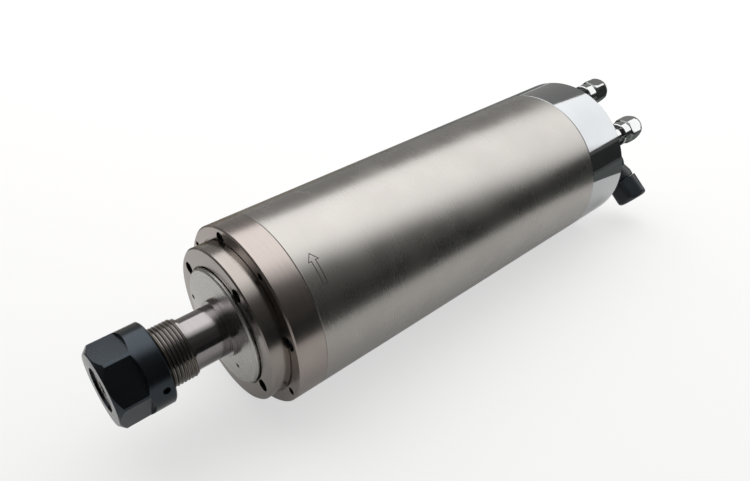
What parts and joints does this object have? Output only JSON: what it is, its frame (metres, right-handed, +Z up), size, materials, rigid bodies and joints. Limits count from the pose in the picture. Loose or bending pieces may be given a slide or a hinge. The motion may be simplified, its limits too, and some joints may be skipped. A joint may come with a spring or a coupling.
{
  "type": "motor spindle",
  "caption": "Water-cooled high-speed motor spindle: round sleeved body, stepped nose, threaded shaft with collet and nut, two hose fittings and an angled power plug at the rear.",
  "frame": {"origin": "on the spindle's axis, in the plane of the shoulder where the 68 mm nose meets the 80 mm body", "axes": "+X along the axis from the collet nut to the water and power connections, +Z up with the upper water fitting near the top, +Y to the side away from the plug"},
  "size_m": [0.3119, 0.0886, 0.08],
  "materials": {
    "sleeve_steel": "satin turned and polished stainless steel",
    "housing_steel": "fine turned steel, slightly warm",
    "nose_steel": "turned steel with concentric tool marks",
    "cap_chrome": "bright plated",
    "shaft_steel": "ground hardened steel",
    "turned_aluminium": "turned, with concentric rings",
    "black_oxide": "black oxide on hardened steel, satin",
    "fitting_plate": "bright nickel plate",
    "screw_steel": "blackened alloy steel",
    "bearing_steel": "ground and lapped bearing steel",
    "jacket_aluminium": "machined",
    "lamination_steel": "stacked laminations, varnished",
    "winding_copper": "enamelled copper wire in varnish",
    "cast_aluminium": "die cast",
    "spring_steel": "hardened and oiled",
    "rubber_seal": "moulded nitrile",
    "sealing_washer": "hard white seal washer",
    "insulator": "moulded insulator",
    "contact_brass": "turned brass",
    "plug_black": "black moulded plug housing"
  },
  "bodies": {
    "housing": {"outer_sleeve": "sleeve_steel", "water_jacket": "jacket_aluminium", "jacket_seals": "rubber_seal", "front_bearing_housing": "housing_steel", "front_housing_screws": "screw_steel", "front_bearing_cover": "nose_steel", "front_cover_screws": "screw_steel", "front_outer_rings": "bearing_steel", "outer_spacer": "bearing_steel", "stator_core": "lamination_steel", "stator_windings": "winding_copper", "rear_bearing_housing": "jacket_aluminium", "housing_seals": "rubber_seal", "rear_outer_ring": "bearing_steel", "preload_spring": "spring_steel", "cap_gasket": "rubber_seal", "rear_cap": "cap_chrome", "cap_screws": "screw_steel", "upper_water_fitting": "fitting_plate", "lower_water_fitting": "fitting_plate", "fitting_washers": "sealing_washer", "power_socket": "fitting_plate", "socket_insulator": "insulator", "contact_pins": "contact_brass", "socket_lock_nut": "fitting_plate"},
    "rotor": {"spindle_shaft": "shaft_steel", "dust_cover": "turned_aluminium", "bearing_lock_nut": "screw_steel", "front_inner_rings": "bearing_steel", "inner_spacer": "bearing_steel", "rotor_core": "lamination_steel", "rotor_end_rings": "cast_aluminium", "rear_inner_ring": "bearing_steel", "rear_lock_nut": "screw_steel"},
    "collet": {"collet": "spring_steel"},
    "collet_nut": {"collet_nut": "black_oxide", "nut_extraction_ring": "spring_steel"},
    "upper_ferrule": {"upper_ferrule": "contact_brass"},
    "upper_hose_nut": {"upper_hose_nut": "fitting_plate"},
    "lower_ferrule": {"lower_ferrule": "contact_brass"},
    "lower_hose_nut": {"lower_hose_nut": "fitting_plate"},
    "plug": {"plug_shell": "fitting_plate", "plug_insert": "insulator", "plug_elbow": "plug_black", "gland_nut": "plug_black"},
    "coupling_ring": {"coupling_ring": "plug_black"}
  },
  "joints": [
    {"name": "rotor_spin", "type": "hinge", "parent": "housing", "child": "rotor", "pos_m": [0, 0, 0], "axis": [1, 0, 0], "continuous": true},
    {"name": "collet_draw", "type": "slide", "parent": "rotor", "child": "collet", "axis": [-1, 0, 0], "range_m": [0, 0.0121]},
    {"name": "nut_turn", "type": "hinge", "parent": "collet", "child": "collet_nut", "pos_m": [-0.05, 0, 0], "axis": [-1, 0, 0], "range_deg": [0, 2880]},
    {"name": "upper_ferrule_draw", "type": "slide", "parent": "housing", "child": "upper_ferrule", "axis": [1, 0, 0], "range_m": [0, 0.0041]},
    {"name": "upper_hose_nut_turn", "type": "hinge", "parent": "upper_ferrule", "child": "upper_hose_nut", "pos_m": [0.237, 0.00101, 0.02898], "axis": [1, 0, 0], "range_deg": [0, 1440]},
    {"name": "lower_ferrule_draw", "type": "slide", "parent": "housing", "child": "lower_ferrule", "axis": [1, 0, 0], "range_m": [0, 0.0041]},
    {"name": "lower_hose_nut_turn", "type": "hinge", "parent": "lower_ferrule", "child": "lower_hose_nut", "pos_m": [0.237, -0.02486, 0.01494], "axis": [1, 0, 0], "range_deg": [0, 1440]},
    {"name": "plug_draw", "type": "slide", "parent": "housing", "child": "plug", "axis": [1, 0, 0], "range_m": [0, 0.0041]},
    {"name": "coupling_turn", "type": "hinge", "parent": "plug", "child": "coupling_ring", "pos_m": [0.225, -0.01994, -0.0093], "axis": [1, 0, 0], "range_deg": [0, 1440]}
  ],
  "couplings": [
    {"joint": "collet_draw", "follows": "nut_turn", "m_per_rad": 0.00023873},
    {"joint": "upper_ferrule_draw", "follows": "upper_hose_nut_turn", "m_per_rad": 0.00015915},
    {"joint": "lower_ferrule_draw", "follows": "lower_hose_nut_turn", "m_per_rad": 0.00015915},
    {"joint": "plug_draw", "follows": "coupling_turn", "m_per_rad": 0.00015915}
  ]
}
